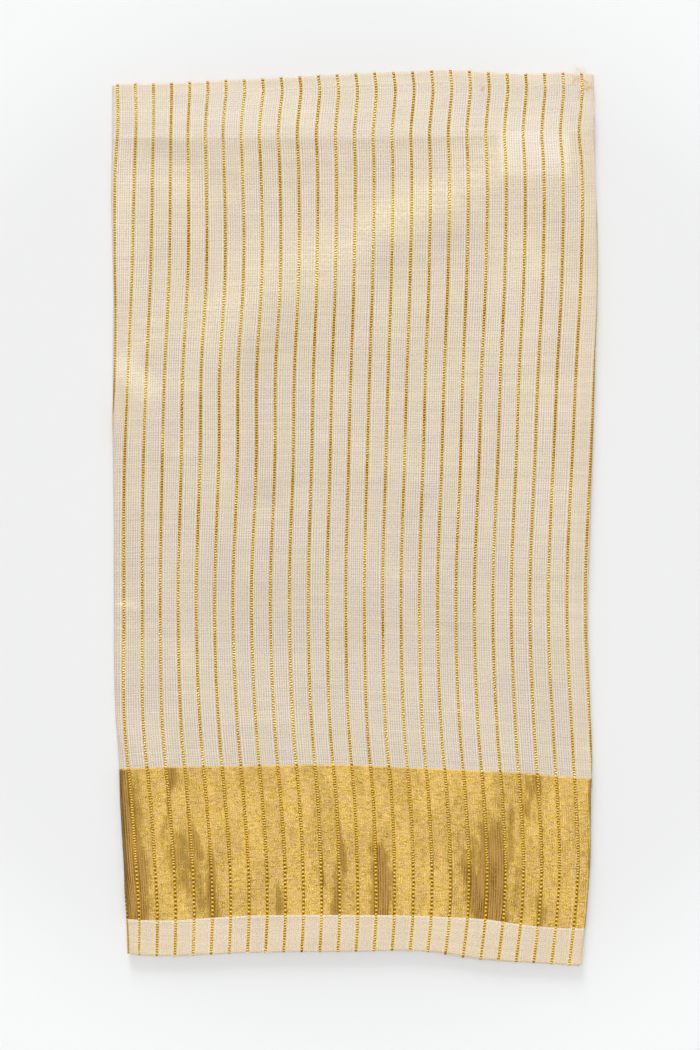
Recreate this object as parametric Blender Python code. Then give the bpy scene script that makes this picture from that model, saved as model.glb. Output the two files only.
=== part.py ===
"""A small dhoti cloth, folded in two along its left edge and laid flat.

The upper layer shows as four stretches of one woven length: the top hem, the striped ground,
the zari border and the bottom hem. Each is a wall that rolls round the left fold to a lap on
the underside, and turns under again in the narrow hem on the right. What lies between and
below them, the turned hems and the back panel, is one solid with its layers parted by a groove
along the three open edges.

The model lies on z = 0, with +Y towards the top hem. Sizes below are in millimetres.
"""

import math
from collections import namedtuple

import bmesh
import bpy
import numpy as np

MM = 0.001

# ---------------------------------------------------------------- driving sizes
WALL = 1.0  # one layer of cloth
GAP = 0.3  # between neighbouring solids, and between layers
PILE = 3 * WALL + 2 * GAP  # height of the whole pile along its edges
MIDDLE_DIP = 0.5  # how far the ground lies below its hems
FOLD_RADIUS = PILE / 2  # left fold, outside
LAP = 12.0  # how far the upper wall runs on under the left fold
HEM_RADIUS = (2 * WALL + GAP) / 2  # fold of the narrow right hem, outside
SIDE_HEM = 7.0  # width of the right hem
NOSE = 0.8  # rounding of the top and bottom edges
NOSE_ROWS = (0.0, 0.15, 0.5, 1.0)  # the rows of that rounding, as shares of it
GROOVE_DEPTH = 1.6  # how far the layers part at the open edges
BACK_SHORT = 0.3  # how far the back panel stays inside the front one
BACK_PEEK = 0.5  # how far it looks out on the right, at PEEK_Y
PEEK_Y = 106.0
PEEK_REACH = 34.0

STRIPES = 27
PITCH = 7.75  # from one zari stripe to the next
RIB_HALF = 0.8  # half the width of a stripe
RIB_HEIGHT = 0.35

# The outline's left and right edges.
Side = namedtuple("Side", "y left right")
SIDES = (
    Side(188.2, -102.0, 100.4),
    Side(154.6, -102.1, 100.9),
    Side(137.8, -102.4, 101.4),
    Side(112.6, -102.0, 101.9),
    Side(91.6, -101.6, 101.7),
    Side(66.4, -101.8, 100.9),
    Side(41.2, -101.7, 100.5),
    Side(16.0, -101.6, 99.6),
    Side(-9.2, -101.4, 98.8),
    Side(-38.6, -101.3, 97.9),
    Side(-65.9, -101.1, 98.6),
    Side(-84.8, -100.5, 99.2),
    Side(-97.4, -99.5, 99.6),
    Side(-118.4, -98.8, 99.3),
    Side(-139.4, -97.6, 99.2),
    Side(-160.4, -96.5, 97.9),
    Side(-188.2, -95.5, 95.4),
)

# The five lines that cross the cloth, as y at some of the stripes.
Cross = namedtuple("Cross", "stripe top hem_line border_top border_end bottom")
CROSSINGS = (
    Cross(1, 182.3, 159.4, -105.7, -168.4, -183.2),
    Cross(3, 182.6, 159.5, -104.8, -169.0, -184.0),
    Cross(8, 184.3, 159.6, -104.2, -167.0, -182.7),
    Cross(14, 186.8, 159.6, -103.7, -166.8, -182.2),
    Cross(17, 187.7, 159.9, -104.9, -167.0, -181.9),
    Cross(19, 188.2, 160.1, -105.5, -167.6, -182.9),
    Cross(21, 187.3, 160.4, -106.2, -168.6, -185.2),
    Cross(23, 186.6, 160.9, -107.0, -170.7, -186.5),
    Cross(25, 187.2, 162.0, -108.3, -172.1, -187.3),
    Cross(27, 186.5, 163.0, -109.5, -172.5, -188.2),
)

# The stripes drift as the cloth was smoothed out: x of five of them, down the length.
Drift = namedtuple("Drift", "y stripe_2 stripe_8 stripe_14 stripe_20 stripe_26")
DRIFTS = (
    Drift(188.0, -92.6, -46.8, 0.7, 48.4, 95.3),
    Drift(172.0, -91.9, -47.0, 0.5, 48.0, 95.0),
    Drift(162.0, -91.9, -47.8, -0.3, 47.1, 94.2),
    Drift(152.0, -92.3, -47.4, 0.1, 47.5, 95.0),
    Drift(102.0, -93.6, -46.7, -0.3, 47.1, 95.0),
    Drift(61.0, -95.3, -49.1, -1.6, 45.4, 92.9),
    Drift(31.0, -96.5, -49.1, -2.4, 44.6, 91.6),
    Drift(-40.0, -96.9, -51.2, -3.7, 42.5, 89.1),
    Drift(-90.0, -96.5, -49.1, -2.4, 44.2, 91.2),
    Drift(-120.0, -93.6, -46.5, 0.1, 46.7, 92.9),
    Drift(-148.0, -91.7, -44.6, 1.1, 48.0, 93.7),
    Drift(-166.0, -90.6, -44.4, 1.3, 47.5, 92.5),
    Drift(-188.0, -90.8, -45.4, 0.1, 45.0, 90.0),
)
DRIFT_STRIPES = (2, 8, 14, 20, 26)

# How soon the ground leaves its edges: the dip below the hems, then the ridges and troughs.
DIP_FROM_FOLD = 14.0
DIP_FROM_HEM = 5.0
RELIEF_FROM_EDGE = 9.0

# The largest soft ridges and troughs, each from one end of its crest to the other.
Fold = namedtuple("Fold", "x0 y0 x1 y1 half_width height")
FOLDS = (
    Fold(-98, 80, -38, 101, 14, 0.6),  # the long ridge, rising to the right
    Fold(-38, 101, 58, 146, 12, 0.7),
    Fold(-40, 60, 24, 117, 13, -0.4),  # the dip below it
    Fold(60, 160, 92, 150, 14, 0.6),
    Fold(-92, 58, -78, 54, 11, 0.5),
    Fold(28, 20, 84, 34, 16, 0.4),
    Fold(-70, -30, 10, -52, 18, -0.4),
    Fold(-73, -133, -63, -161, 9, -0.5),  # troughs in the border
    Fold(-10, -141, -8, -162, 8, -0.4),
    Fold(12, -141, 12, -162, 7, -0.4),
    Fold(56, -141, 55, -166, 10, -0.6),
    Fold(61, -138, 73, -116, 8, -0.4),
)

# ---------------------------------------------------------------- the four stretches
Stretch = namedtuple("Stretch", "name above below rows colour metallic roughness")
CREAM = (0.73, 0.62, 0.47)
WARM_CREAM = (0.80, 0.69, 0.53)
GOLD = (0.68, 0.44, 0.11)
STRETCHES = (
    Stretch("top_hem", "top", "hem_line", 4, WARM_CREAM, 0.0, 0.75),
    Stretch("front_panel", "hem_line", "border_top", 23, CREAM, 0.0, 0.75),
    Stretch("zari_border", "border_top", "border_end", 8, GOLD, 0.8, 0.4),
    Stretch("bottom_hem", "border_end", "bottom", 3, WARM_CREAM, 0.0, 0.75),
)


# ---------------------------------------------------------------- curves and measures
def smooth_through(at, places, values):
    """The value at one place on a smooth curve through the given ones, straight past its ends."""
    places = np.asarray(places, float)
    values = np.asarray(values, float)
    slopes = np.gradient(values, places)
    if at <= places[0]:
        return float(values[0] + slopes[0] * (at - places[0]))
    if at >= places[-1]:
        return float(values[-1] + slopes[-1] * (at - places[-1]))
    i = int(np.searchsorted(places, at, side="right")) - 1
    span = places[i + 1] - places[i]
    t = (at - places[i]) / span
    start = values[i] * (1 + 2 * t) * (1 - t) ** 2 + slopes[i] * span * t * (1 - t) ** 2
    end = values[i + 1] * t * t * (3 - 2 * t) - slopes[i + 1] * span * t * t * (1 - t)
    return float(start + end)


def ease(value):
    """0 below 0, 1 above 1, and smooth between."""
    t = min(max(value, 0.0), 1.0)
    return t * t * (3 - 2 * t)


def left_edge(y):
    rows = SIDES[::-1]
    return smooth_through(y, [r.y for r in rows], [r.left for r in rows])


def right_edge(y):
    rows = SIDES[::-1]
    return smooth_through(y, [r.y for r in rows], [r.right for r in rows])


def crossing(line, stripe):
    """y of one of the lines across the cloth, at a stripe's number."""
    return smooth_through(stripe, [r.stripe for r in CROSSINGS], [getattr(r, line) for r in CROSSINGS])


def stripe_x(number, y):
    """x of a stripe as if the cloth lay flat past its edges."""
    rows = DRIFTS[::-1]
    heights = [r.y for r in rows]
    known = [smooth_through(y, heights, [r[i + 1] for r in rows]) for i in range(len(DRIFT_STRIPES))]
    if number < DRIFT_STRIPES[0]:
        return known[0] - PITCH * (DRIFT_STRIPES[0] - number)
    if number > DRIFT_STRIPES[-1]:
        return known[-1] + PITCH * (number - DRIFT_STRIPES[-1])
    return smooth_through(number, DRIFT_STRIPES, known)


def fold_height(fold, x, y):
    """How far one ridge or trough lifts the cloth at a point."""
    along_x, along_y = fold.x1 - fold.x0, fold.y1 - fold.y0
    t = ((x - fold.x0) * along_x + (y - fold.y0) * along_y) / (along_x**2 + along_y**2)
    t = min(max(t, 0.0), 1.0)
    away = math.hypot(x - fold.x0 - t * along_x, y - fold.y0 - t * along_y)
    return fold.height * math.exp(-((away / fold.half_width) ** 2))


def top_height(x, y, hem_line, border_end):
    """Height of the cloth's upper face."""
    from_left = x - left_edge(y) - FOLD_RADIUS
    from_right = right_edge(y) - HEM_RADIUS - x
    dip = ease(from_left / DIP_FROM_FOLD) * ease((from_right - SIDE_HEM) / DIP_FROM_HEM)
    dip *= ease((hem_line - y) / DIP_FROM_HEM) * ease((y - border_end) / DIP_FROM_HEM)
    held = ease(from_left / RELIEF_FROM_EDGE) * ease(from_right / RELIEF_FROM_EDGE)
    relief = sum(fold_height(fold, x, y) for fold in FOLDS)
    return PILE - MIDDLE_DIP * dip + relief * held


# ---------------------------------------------------------------- the wall's section
QUARTER_TURN = math.pi / 2 * FOLD_RADIUS  # along the left fold, from its side to the top
HEM_TURN = math.pi * HEM_RADIUS  # round the right hem's fold
LAP_START = -QUARTER_TURN - LAP
ROUND_START = -QUARTER_TURN - 1.8  # where the closer lines begin that round the fold


def along_top(x, y):
    """Distance along the upper face to x, from the outermost line of the left fold."""
    return QUARTER_TURN + x - left_edge(y) - FOLD_RADIUS


def hem_turn_start(y):
    return along_top(right_edge(y) - HEM_RADIUS, y)


def stripe_along(number, y):
    """A stripe's distance along the face. Over the left fold it is read from how it looks from above."""
    along = along_top(stripe_x(number, y), y)
    inside = stripe_x(number, y) - left_edge(y)
    if 0 < inside < FOLD_RADIUS:
        return FOLD_RADIUS * math.acos(1 - inside / FOLD_RADIUS)
    return along


def wall_point(along, depth, y, hem_line, border_end):
    """(x, z) at a distance along the wall's upper face, and at a depth under that face."""
    left, right = left_edge(y), right_edge(y)
    if along < -QUARTER_TURN:
        return left + FOLD_RADIUS - along - QUARTER_TURN, depth
    if along < QUARTER_TURN:
        angle = along / FOLD_RADIUS
        radius = FOLD_RADIUS - depth
        return left + FOLD_RADIUS - radius * math.cos(angle), FOLD_RADIUS + radius * math.sin(angle)
    turn = hem_turn_start(y)
    if along < turn:
        x = left + FOLD_RADIUS + along - QUARTER_TURN
        return x, top_height(x, y, hem_line, border_end) - depth
    centre_x, centre_z = right - HEM_RADIUS, PILE - HEM_RADIUS
    if along < turn + HEM_TURN:
        angle = (along - turn) / HEM_RADIUS
        radius = HEM_RADIUS - depth
        return centre_x + radius * math.sin(angle), centre_z + radius * math.cos(angle)
    return centre_x - (along - turn - HEM_TURN), PILE - 2 * HEM_RADIUS + depth


def rib_share(along, y):
    """1 where a stripe stands proud, and 0 where it has gone round an edge to a hidden side."""
    past_hem = (along - hem_turn_start(y)) / HEM_RADIUS
    return ease(0.5 + along / FOLD_RADIUS) * ease(2 - past_hem)


Line = namedtuple("Line", "stripe start end share rib inner")
FOLD_LINES = 7  # lines that round the left fold, before the first stripe
HEM_LINES = 6  # and from the last stripe round the right hem
LINES_AFTER = {1: 3, STRIPES - 1: 5}  # more of them beside the stripes next to the edges


def wall_lines():
    """The lines down the wall, left to right. Each lies between two places along the face."""
    lines = [Line(1, "lap", "lap", 0, 0, True)]
    lines += [Line(1, "fold", 1, i / FOLD_LINES, 0, True) for i in range(FOLD_LINES)]
    for number in range(1, STRIPES + 1):
        lines += [Line(number, number, number, side, 1 - abs(side), side == 0) for side in (-1, 0, 1)]
        between = LINES_AFTER.get(number, 0)
        for i in range(1, between + 1):
            share = i / (between + 1)
            lines.append(Line(number + share, number, number + 1, share, 0, True))
    lines += [Line(STRIPES, STRIPES, "hem", i / HEM_LINES, 0, True) for i in range(1, HEM_LINES + 1)]
    return lines


def line_along(line, y):
    """Where a line lies along the face at one height."""
    if line.start == "lap":
        return LAP_START
    if line.start == line.end:
        return stripe_along(line.start, y) + line.share * RIB_HALF
    if line.start == "fold":
        start = ROUND_START
        end = stripe_along(line.end, y) - RIB_HALF
    elif line.end == "hem":
        start = stripe_along(line.start, y) + RIB_HALF
        end = hem_turn_start(y) + HEM_TURN + SIDE_HEM - 2 * HEM_RADIUS
    else:
        start = stripe_along(line.start, y) + RIB_HALF
        end = stripe_along(line.end, y) - RIB_HALF
    return start + line.share * (end - start)


def edge_rows(rounded):
    """(distance inside a stretch's edge, how far the face has dropped there), row by row."""
    if not rounded:
        return [(0.0, 0.0)]
    return [(NOSE * share, NOSE * (1 - math.sqrt(1 - (1 - share) ** 2))) for share in NOSE_ROWS]


def row_heights(stretch, stripe):
    """(y, drop) of a stretch's rows at one stripe, from its upper edge down."""
    open_above, open_below = stretch.above == "top", stretch.below == "bottom"
    upper, lower = edge_rows(open_above), edge_rows(open_below)
    above = crossing(stretch.above, stripe) - (0 if open_above else GAP / 2)
    below = crossing(stretch.below, stripe) + (0 if open_below else GAP / 2)
    first, last = above - upper[-1][0], below + lower[-1][0]
    rows = [(above - inside, drop) for inside, drop in upper]
    rows += [(first + (last - first) * i / stretch.rows, 0.0) for i in range(1, stretch.rows)]
    rows += [(below + inside, drop) for inside, drop in reversed(lower)]
    return rows


# ---------------------------------------------------------------- meshes
SHARP = math.radians(40)


def finish_object(name, bm, colour, metallic, roughness):
    """Turns a bmesh in millimetres into a named object with its own material."""
    for vertex in bm.verts:
        vertex.co *= MM
    bmesh.ops.recalc_face_normals(bm, faces=bm.faces)
    mesh = bpy.data.meshes.new(name)
    bm.to_mesh(mesh)
    bm.free()
    mesh.shade_smooth()
    mesh.set_sharp_from_angle(angle=SHARP)
    material = bpy.data.materials.new(name)
    material.use_nodes = True
    shader = material.node_tree.nodes["Principled BSDF"]
    shader.inputs["Base Color"].default_value = (*colour, 1)
    shader.inputs["Metallic"].default_value = metallic
    shader.inputs["Roughness"].default_value = roughness
    mesh.materials.append(material)
    made = bpy.data.objects.new(name, mesh)
    bpy.context.scene.collection.objects.link(made)
    return made


def make_stretch(stretch):
    """One stretch of the upper wall: a ribbed outer face over a plain inner one."""
    bm = bmesh.new()
    lines = wall_lines()
    outer, inner = [], []
    for line in lines:
        hem_line = crossing("hem_line", line.stripe)
        border_end = crossing("border_end", line.stripe)
        outer_line, inner_line = [], []
        for y, drop in row_heights(stretch, line.stripe):
            along = line_along(line, y)
            lift = RIB_HEIGHT * line.rib * rib_share(along, y)
            x, z = wall_point(along, drop - lift, y, hem_line, border_end)
            outer_line.append(bm.verts.new((x, y, z)))
            if line.inner:
                x, z = wall_point(along, WALL, y, hem_line, border_end)
                inner_line.append(bm.verts.new((x, y, z)))
        outer.append(outer_line)
        inner.append(inner_line)
    rows = len(outer[0])
    for a, b in zip(outer, outer[1:]):
        for r in range(rows - 1):
            bm.faces.new((a[r], a[r + 1], b[r + 1], b[r]))
    kept = [i for i, line in enumerate(lines) if line.inner]
    for i, j in zip(kept, kept[1:]):
        for r in range(rows - 1):
            bm.faces.new((inner[i][r], inner[j][r], inner[j][r + 1], inner[i][r + 1]))
        for r in (0, rows - 1):
            edge = [outer[k][r] for k in range(i, j + 1)]
            bm.faces.new([inner[i][r], *edge, inner[j][r]])
    for i in (kept[0], kept[-1]):
        for r in range(rows - 1):
            bm.faces.new((outer[i][r], inner[i][r], inner[i][r + 1], outer[i][r + 1]))
    return finish_object(stretch.name, bm, stretch.colour, stretch.metallic, stretch.roughness)


# The hidden layers' levels, from the underside up: how far the open edges draw in there,
# and whether the level reaches out under the right hem. The back panel is the lower layer,
# and the turned hems are the upper one, as high as the upper wall leaves room for.
Level = namedtuple("Level", "z drawn_in under_hem")
ROUNDED = 0.25
HEM_UNDER = WALL + GAP
HEM_TOP = PILE - WALL - GAP
BESIDE_LAP = (
    Level(0.0, ROUNDED, True),
    Level(ROUNDED, 0.0, True),
    Level(WALL - ROUNDED, 0.0, True),
    Level(WALL, ROUNDED, True),
    Level(WALL, GROOVE_DEPTH, False),
    Level(HEM_UNDER, GROOVE_DEPTH, False),
)
INSIDE_FOLD = (
    Level(HEM_UNDER, ROUNDED, False),
    Level(HEM_UNDER + ROUNDED, 0.0, False),
    Level(HEM_TOP - ROUNDED, 0.0, False),
    Level(HEM_TOP, ROUNDED, False),
)
HIDDEN_ROWS = 18
HIDDEN_COLUMNS = 13
SLACK = 0.25  # how much lower than GAP the hidden layers lie, away from the edges


def left_side(index):
    """(distance right of the fold's centre, height) of the left side at one level."""
    if index < len(BESIDE_LAP):
        return LAP + GAP, HEM_UNDER * index / (len(BESIDE_LAP) - 1)
    turn = math.pi * (index - len(BESIDE_LAP)) / (len(INSIDE_FOLD) - 1)
    radius = FOLD_RADIUS - WALL - GAP
    return -radius * math.sin(turn), FOLD_RADIUS - radius * math.cos(turn)


def right_side(level, y):
    """Right side of a level: out below the hem's turned strip, or just short of it."""
    if not level.under_hem:
        return right_edge(y) - SIDE_HEM - 2 * GAP - level.drawn_in
    peek = math.exp(-(((y - PEEK_Y) / PEEK_REACH) ** 4))
    return right_edge(y) - BACK_SHORT + (BACK_PEEK + BACK_SHORT) * peek - level.drawn_in


def make_hidden_layers():
    """The turned hems and the back panel, as one solid that is layered at its open edges."""
    bm = bmesh.new()
    columns, rows = HIDDEN_COLUMNS, HIDDEN_ROWS
    levels = BESIDE_LAP + INSIDE_FOLD

    def stripe_of(column):
        return 1 + (STRIPES - 1) * column / columns

    def place(index, column, row):
        """A point of the grid at one level."""
        level = levels[index]
        top = crossing("top", stripe_of(column)) - BACK_SHORT - level.drawn_in
        bottom = crossing("bottom", stripe_of(column)) + BACK_SHORT + level.drawn_in
        y = top + (bottom - top) * row / rows
        inwards, left_z = left_side(index)
        left = left_edge(y) + FOLD_RADIUS + inwards
        x = left + (right_side(level, y) - left) * column / columns
        return x, y, left_z if column == 0 else level.z

    rim = [(c, 0) for c in range(columns)]
    rim += [(columns, r) for r in range(rows)]
    rim += [(c, rows) for c in range(columns, 0, -1)]
    rim += [(0, r) for r in range(rows, 0, -1)]
    loops = []
    for index in range(len(levels)):
        loops.append([bm.verts.new(place(index, c, r)) for c, r in rim])
    for lower, upper in zip(loops, loops[1:]):
        for i in range(len(rim)):
            j = (i + 1) % len(rim)
            bm.faces.new((lower[i], lower[j], upper[j], upper[i]))
    bm.faces.new(loops[0][::-1])

    crown = dict(zip(rim, loops[-1]))
    for column in range(1, columns):
        stripe = stripe_of(column)
        hem_line, border_end = crossing("hem_line", stripe), crossing("border_end", stripe)
        for row in range(1, rows):
            x, y, _ = place(len(levels) - 1, column, row)
            z = top_height(x, y, hem_line, border_end) - WALL - GAP - SLACK
            crown[column, row] = bm.verts.new((x, y, z))
    for column in range(columns):
        for row in range(rows):
            corners = ((0, 0), (1, 0), (1, 1), (0, 1))
            bm.faces.new([crown[column + a, row + b] for a, b in corners])
    return finish_object("hidden_layers", bm, WARM_CREAM, 0.0, 0.75)


def main():
    for old in list(bpy.data.objects):
        bpy.data.objects.remove(old, do_unlink=True)
    for stretch in STRETCHES:
        make_stretch(stretch)
    make_hidden_layers()


main()
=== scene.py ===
import math
from collections import namedtuple

import bpy
import numpy as np
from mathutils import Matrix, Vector


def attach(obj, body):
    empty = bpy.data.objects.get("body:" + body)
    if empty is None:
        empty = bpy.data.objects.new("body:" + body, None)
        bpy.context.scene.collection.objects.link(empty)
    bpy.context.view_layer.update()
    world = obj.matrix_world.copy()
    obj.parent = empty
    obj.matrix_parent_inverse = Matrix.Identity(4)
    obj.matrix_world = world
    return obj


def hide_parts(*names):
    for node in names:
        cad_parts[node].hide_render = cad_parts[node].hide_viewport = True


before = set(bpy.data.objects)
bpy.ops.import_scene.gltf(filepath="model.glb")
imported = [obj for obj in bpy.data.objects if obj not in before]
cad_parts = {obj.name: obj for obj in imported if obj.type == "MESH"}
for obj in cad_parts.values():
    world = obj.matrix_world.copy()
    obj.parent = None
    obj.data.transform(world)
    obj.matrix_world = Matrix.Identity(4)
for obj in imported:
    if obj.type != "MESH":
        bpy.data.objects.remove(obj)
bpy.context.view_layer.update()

MM = 0.001


def table(columns, *rows):
    """The rows of a table, each with the named columns."""
    Row = namedtuple("Row", columns)
    return tuple(Row(*row) for row in rows)


# ---------- sizes, in millimetres
PILE = 3.6  # height of the folded cloth along its edges
MIDDLE_DIP = 0.5  # how far the ground lies below its hems
FOLD_RADIUS = PILE / 2  # left fold, outside
LAP = 12.0  # how far the upper cloth runs on under the left fold
SHELL = 0.75  # thickness of the shell that stands for one soft layer
HEM_RADIUS = 0.8  # fold of a turned hem, outside
SIDE_HEM = 7.0  # width of the right hem
NOSE = SHELL  # rounding of the top and bottom edges
NOSE_ROWS = (0.0, 0.08, 0.3, 0.6, 1.0)
STRIPES = 27
PITCH = 7.75  # from one zari stripe to the next
BED_HALF = 0.8  # half the width of the low ridge under a stripe
BED_HEIGHT = 0.12
BED_RIM = 0.2  # the cloth lies flat again this far beside the ridge

SIDES = table(
    "y left right",
    (188.2, -102.0, 100.4),
    (154.6, -102.1, 100.9),
    (137.8, -102.4, 101.4),
    (112.6, -102.0, 101.9),
    (91.6, -101.6, 101.7),
    (66.4, -101.8, 100.9),
    (41.2, -101.7, 100.5),
    (16.0, -101.6, 99.6),
    (-9.2, -101.4, 98.8),
    (-38.6, -101.3, 97.9),
    (-65.9, -101.1, 98.6),
    (-84.8, -100.5, 99.2),
    (-97.4, -99.5, 99.6),
    (-118.4, -98.8, 99.3),
    (-139.4, -97.6, 99.2),
    (-160.4, -96.5, 97.9),
    (-188.2, -95.5, 95.4),
)

# The five lines that cross the cloth, as y at some of the stripes.
CROSSINGS = table(
    "stripe top hem_line border_top border_end bottom",
    (1, 182.3, 159.4, -105.7, -168.4, -183.2),
    (3, 182.6, 159.5, -104.8, -169.0, -184.0),
    (8, 184.3, 159.6, -104.2, -167.0, -182.7),
    (14, 186.8, 159.6, -103.7, -166.8, -182.2),
    (17, 187.7, 159.9, -104.9, -167.0, -181.9),
    (19, 188.2, 160.1, -105.5, -167.6, -182.9),
    (21, 187.3, 160.4, -106.2, -168.6, -185.2),
    (23, 186.6, 160.9, -107.0, -170.7, -186.5),
    (25, 187.2, 162.0, -108.3, -172.1, -187.3),
    (27, 186.5, 163.0, -109.5, -172.5, -188.2),
)
# Their places down the cloth as it was woven, which the weave and its pattern go by.
WOVEN = dict(top=186.8, hem_line=159.6, border_top=-103.7, border_end=-166.8, bottom=-182.2)

# The stripes drift as the cloth was smoothed out: x of five of them, down the length.
DRIFTS = table(
    "y stripe_2 stripe_8 stripe_14 stripe_20 stripe_26",
    (188.0, -92.6, -47.0, 0.2, 48.1, 95.1),
    (180.0, -92.2, -46.2, 1.2, 48.6, 95.6),
    (172.0, -91.9, -47.1, 0.7, 47.9, 94.9),
    (162.0, -91.9, -47.8, -0.2, 47.1, 94.2),
    (152.0, -92.3, -47.4, 0.1, 47.5, 95.0),
    (102.0, -93.6, -46.7, -0.3, 47.1, 95.0),
    (61.0, -95.3, -49.1, -1.6, 45.4, 92.9),
    (31.0, -96.5, -49.1, -2.4, 44.6, 91.6),
    (-40.0, -96.9, -51.2, -3.7, 42.5, 89.1),
    (-90.0, -96.5, -49.1, -2.4, 44.2, 91.2),
    (-120.0, -93.6, -46.5, 0.1, 46.7, 92.9),
    (-148.0, -91.7, -44.6, 1.1, 48.0, 93.7),
    (-166.0, -90.6, -44.4, 1.3, 47.5, 92.5),
    (-188.0, -90.8, -45.4, 0.1, 45.0, 90.0),
)
DRIFT_STRIPES = (2, 8, 14, 20, 26)

# The first stripe runs along the left fold: how far round it, from the fold's outermost line.
FIRST_STRIPE = table(
    "y along",
    (188, 3.2),
    (165, 3.6),
    (152, 2.9),
    (130, 2.6),
    (100, 2.1),
    (61, 2.0),
    (48, 1.2),
    (34, -0.8),
    (0, -2.6),
    (-100, -2.6),
    (-150, -1.0),
    (-165, 1.3),
    (-188, 1.6),
)

DIP_FROM_FOLD = 14.0
DIP_FROM_HEM = 5.0
RELIEF_FROM_EDGE = 9.0

# Soft ridges and troughs, each from one end of its crest to the other, with half widths at the
# two ends and the height. Patches of light and dark have the same columns.
STROKE = "x0 y0 x1 y1 start_width end_width amount"
FOLDS = table(
    STROKE,
    (-98, 80, -38, 101, 14, 14, 0.6),  # the long ridge, rising to the right
    (-38, 101, 58, 146, 12, 12, 0.7),
    (-40, 60, 24, 117, 13, 13, -0.4),  # the dip below it
    (60, 160, 92, 150, 14, 14, 0.6),
    (-92, 58, -78, 54, 11, 11, 0.5),
    (28, 20, 84, 34, 16, 16, 0.4),
    (-70, -30, 10, -52, 18, 18, -0.4),
    (-73, -133, -63, -161, 9, 9, -0.5),  # troughs in the border
    (-10, -141, -8, -162, 8, 8, -0.4),
    (12, -141, 12, -162, 7, 7, -0.4),
    (56, -141, 55, -166, 10, 10, -0.6),
    (61, -138, 73, -116, 8, 8, -0.4),
)
CREASES = table(
    STROKE,
    (-80, 155, -66, 152, 4, 4, -0.15),
    (-30, 92, 8, 118, 5, 5, 0.14),
    (20, 128, 60, 140, 4, 4, 0.16),
    (40, 96, 92, 118, 6, 6, 0.12),
    (-96, 34, -60, 46, 5, 5, 0.12),
    (10, 78, 96, 77, 3, 3, 0.08),
    (-60, 10, -20, 26, 7, 7, 0.10),
    (-20, -70, 60, -82, 7, 7, 0.10),
    (-90, -60, -40, -66, 6, 6, 0.10),
    (-88, -114, -84, -164, 4, 4, -0.20),
    (-70, -108, -76, -130, 3, 3, -0.16),
    (49, -140, 52, -168, 3, 3, 0.14),
    (63, -146, 60, -168, 3, 3, -0.18),
    (30, -120, 34, -160, 5, 5, 0.14),
    (-40, -115, -38, -160, 5, 5, 0.12),
)

# Unevenness all over: how strong, the seed of its random waves, and how long they are.
WAVE = "amount seed length"
COCKLES = table(WAVE, (0.05, 3, 30), (0.018, 4, 9))
PATCH_WAVES = table(WAVE, (0.05, 11, 26), (0.03, 12, 7))
PALE_WAVES = table(WAVE, (0.010, 13, 40), (0.006, 14, 12))

STRETCHES = table(
    "name above below rows node slot",
    ("top_hem_cloth", "top", "hem_line", 18, "top_hem", "turned_hem"),
    ("ground_cloth", "hem_line", "border_top", 176, "front_panel", "striped_tissue"),
    ("border_cloth", "border_top", "border_end", 56, "zari_border", "zari_weave"),
    ("bottom_hem_cloth", "border_end", "bottom", 14, "bottom_hem", "turned_hem"),
)

# ---------- curves and measures


def smooth_through(at, places, values):
    """Values at some places on a smooth curve through the given ones, straight past its ends.

    Each of the values is a number, or an array with one number for each of the places asked for.
    """
    at = np.asarray(at, float)
    places = np.asarray(places, float)
    values = np.array([np.broadcast_to(value, at.shape) for value in values], float)
    slopes = np.gradient(values, places, axis=0)
    first = np.clip(np.searchsorted(places, at, side="right") - 1, 0, len(places) - 2)

    def pick(rows, index):
        return np.take_along_axis(rows, index[None], axis=0)[0]

    span = places[first + 1] - places[first]
    t = (at - places[first]) / span
    inside = np.clip(t, 0, 1)
    v0, v1 = pick(values, first), pick(values, first + 1)
    s0, s1 = pick(slopes, first), pick(slopes, first + 1)
    curve = v0 * (1 + 2 * inside) * (1 - inside) ** 2 + s0 * span * inside * (1 - inside) ** 2
    curve += v1 * inside**2 * (3 - 2 * inside) - s1 * span * inside**2 * (1 - inside)
    return curve + np.where(t > 1, s1, s0) * (t - inside) * span


def ease(value):
    """0 below 0, 1 above 1, and smooth between."""
    t = np.clip(value, 0, 1)
    return t * t * (3 - 2 * t)


def along_rows(rows, at, field):
    """One column of a table, as a smooth curve over its first column."""
    rows = sorted(rows)
    return smooth_through(at, [row[0] for row in rows], [getattr(row, field) for row in rows])


def left_edge(y):
    return along_rows(SIDES, y, "left")


def right_edge(y):
    return along_rows(SIDES, y, "right")


def crossing(line, stripe):
    """y of one of the lines across the cloth, at a stripe's number."""
    return along_rows(CROSSINGS, np.clip(stripe, 1, STRIPES), line)


def stripe_x(number, y):
    """x of a stripe as if the cloth lay flat past its edges."""
    first, last = DRIFT_STRIPES[0], DRIFT_STRIPES[-1]
    known = [along_rows(DRIFTS, y, field) for field in DRIFTS[0]._fields[1:]]
    inner = smooth_through(np.clip(number, first, last), DRIFT_STRIPES, known)
    return inner + PITCH * (np.minimum(number - first, 0) + np.maximum(number - last, 0))


def stripe_at(x, y):
    """The number of the stripe at a place on the flat cloth, with a part between two stripes."""
    number = STRIPES / 2 + x / PITCH
    for _ in range(4):
        number = number - (stripe_x(number, y) - x) / PITCH
    return number


def woven_down(y, stripe):
    """A place down the cloth as it was woven, for a place on the flat cloth."""
    lines = list(WOVEN)
    down = y + WOVEN["top"] - crossing("top", stripe)
    for above, below in zip(lines, lines[1:]):
        high, low = crossing(above, stripe), crossing(below, stripe)
        share = (high - y) / (high - low)
        down = np.where(share > 0, WOVEN[above] + (WOVEN[below] - WOVEN[above]) * share, down)
    return down


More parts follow.
